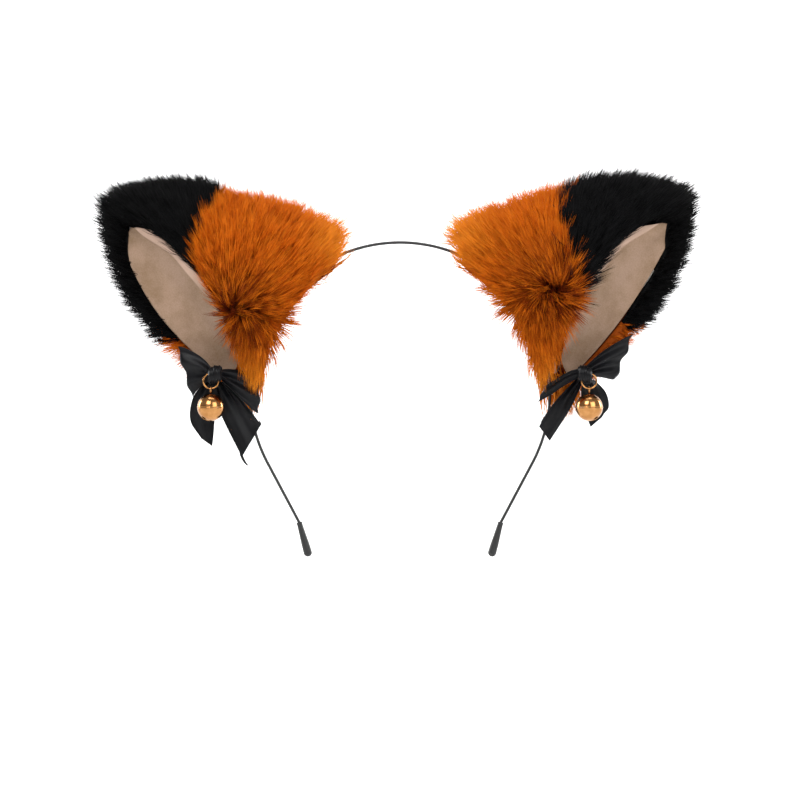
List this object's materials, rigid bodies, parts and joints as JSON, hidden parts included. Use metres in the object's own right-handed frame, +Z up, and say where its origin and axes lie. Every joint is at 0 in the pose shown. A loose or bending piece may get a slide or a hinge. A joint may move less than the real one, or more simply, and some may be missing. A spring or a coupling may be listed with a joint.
{
  "type": "animal ears headband",
  "caption": "Wire headband with posable faux fur fox ears, suede inner ears, satin ribbon bows and small jingle bells.",
  "frame": {"origin": "underside of the band's wire at the crown, where it rests on the wearer's head", "axes": "+Z up, the front faces -Y, +X towards the wearer's left ear as seen from the front, across the ears"},
  "size_m": [0.3118, 0.0599, 0.1996],
  "materials": {
    "black_wire": "black lacquered spring wire",
    "soft_tip": "matt soft rubber",
    "orange_fur": "long soft pile",
    "black_fur": "long soft pile",
    "suede": "short nap",
    "padding": "fibre wadding",
    "felt": "pressed felt",
    "satin": "satin ribbon",
    "gold": "polished plated",
    "steel": "plain"
  },
  "bodies": {
    "band": {"headband_wire": "black_wire", "tip_cap_left": "soft_tip", "tip_cap_right": "soft_tip"},
    "ear_left": {"front_base_fur_left": "orange_fur", "back_base_fur_left": "orange_fur", "front_tip_fur_left": "black_fur", "back_tip_fur_left": "black_fur", "inner_lining_left": "suede", "ear_padding_left": "padding", "ear_armature_left": "steel", "band_sleeve_left": "felt", "base_felt_left": "felt", "bow_loop_outer_left": "satin", "bow_loop_inner_left": "satin", "bow_tail_outer_left": "satin", "bow_tail_inner_left": "satin", "bow_knot_left": "satin"},
    "ring_left": {"jump_ring_left": "gold"},
    "bell_left": {"bell_eye_left": "gold", "bell_upper_left": "gold", "bell_lower_left": "gold"},
    "pellet_left": {"bell_pellet_left": "steel"},
    "ear_right": {"front_base_fur_right": "orange_fur", "back_base_fur_right": "orange_fur", "front_tip_fur_right": "black_fur", "back_tip_fur_right": "black_fur", "inner_lining_right": "suede", "ear_padding_right": "padding", "ear_armature_right": "steel", "band_sleeve_right": "felt", "base_felt_right": "felt", "bow_loop_outer_right": "satin", "bow_loop_inner_right": "satin", "bow_tail_outer_right": "satin", "bow_tail_inner_right": "satin", "bow_knot_right": "satin"},
    "ring_right": {"jump_ring_right": "gold"},
    "bell_right": {"bell_eye_right": "gold", "bell_upper_right": "gold", "bell_lower_right": "gold"},
    "pellet_right": {"bell_pellet_right": "steel"}
  },
  "joints": [
    {"name": "ear_tilt_left", "type": "hinge", "parent": "band", "child": "ear_left", "pos_m": [-0.06651, 0, -0.03644], "axis": [0.5225, 0, 0.8526], "range_deg": [-12, 12]},
    {"name": "ring_swing_left", "type": "hinge", "parent": "ear_left", "child": "ring_left", "pos_m": [-0.097, -0.0205, -0.0676], "axis": [-1, 0, 0], "range_deg": [0, 25]},
    {"name": "bell_swing_left", "type": "hinge", "parent": "ring_left", "child": "bell_left", "pos_m": [-0.097, -0.0205, -0.0714], "axis": [0, 1, 0], "range_deg": [-25, 25]},
    {"name": "pellet_slide_left", "type": "slide", "parent": "bell_left", "child": "pellet_left", "axis": [0, 0, 1], "range_m": [0, 0.006]},
    {"name": "ear_tilt_right", "type": "hinge", "parent": "band", "child": "ear_right", "pos_m": [0.06651, 0, -0.03644], "axis": [-0.5225, 0, 0.8526], "range_deg": [-12, 12]},
    {"name": "ring_swing_right", "type": "hinge", "parent": "ear_right", "child": "ring_right", "pos_m": [0.097, -0.0205, -0.0676], "axis": [-1, 0, 0], "range_deg": [0, 25]},
    {"name": "bell_swing_right", "type": "hinge", "parent": "ring_right", "child": "bell_right", "pos_m": [0.097, -0.0205, -0.0714], "axis": [0, 1, 0], "range_deg": [-25, 25]},
    {"name": "pellet_slide_right", "type": "slide", "parent": "bell_right", "child": "pellet_right", "axis": [0, 0, 1], "range_m": [0, 0.006]}
  ]
}
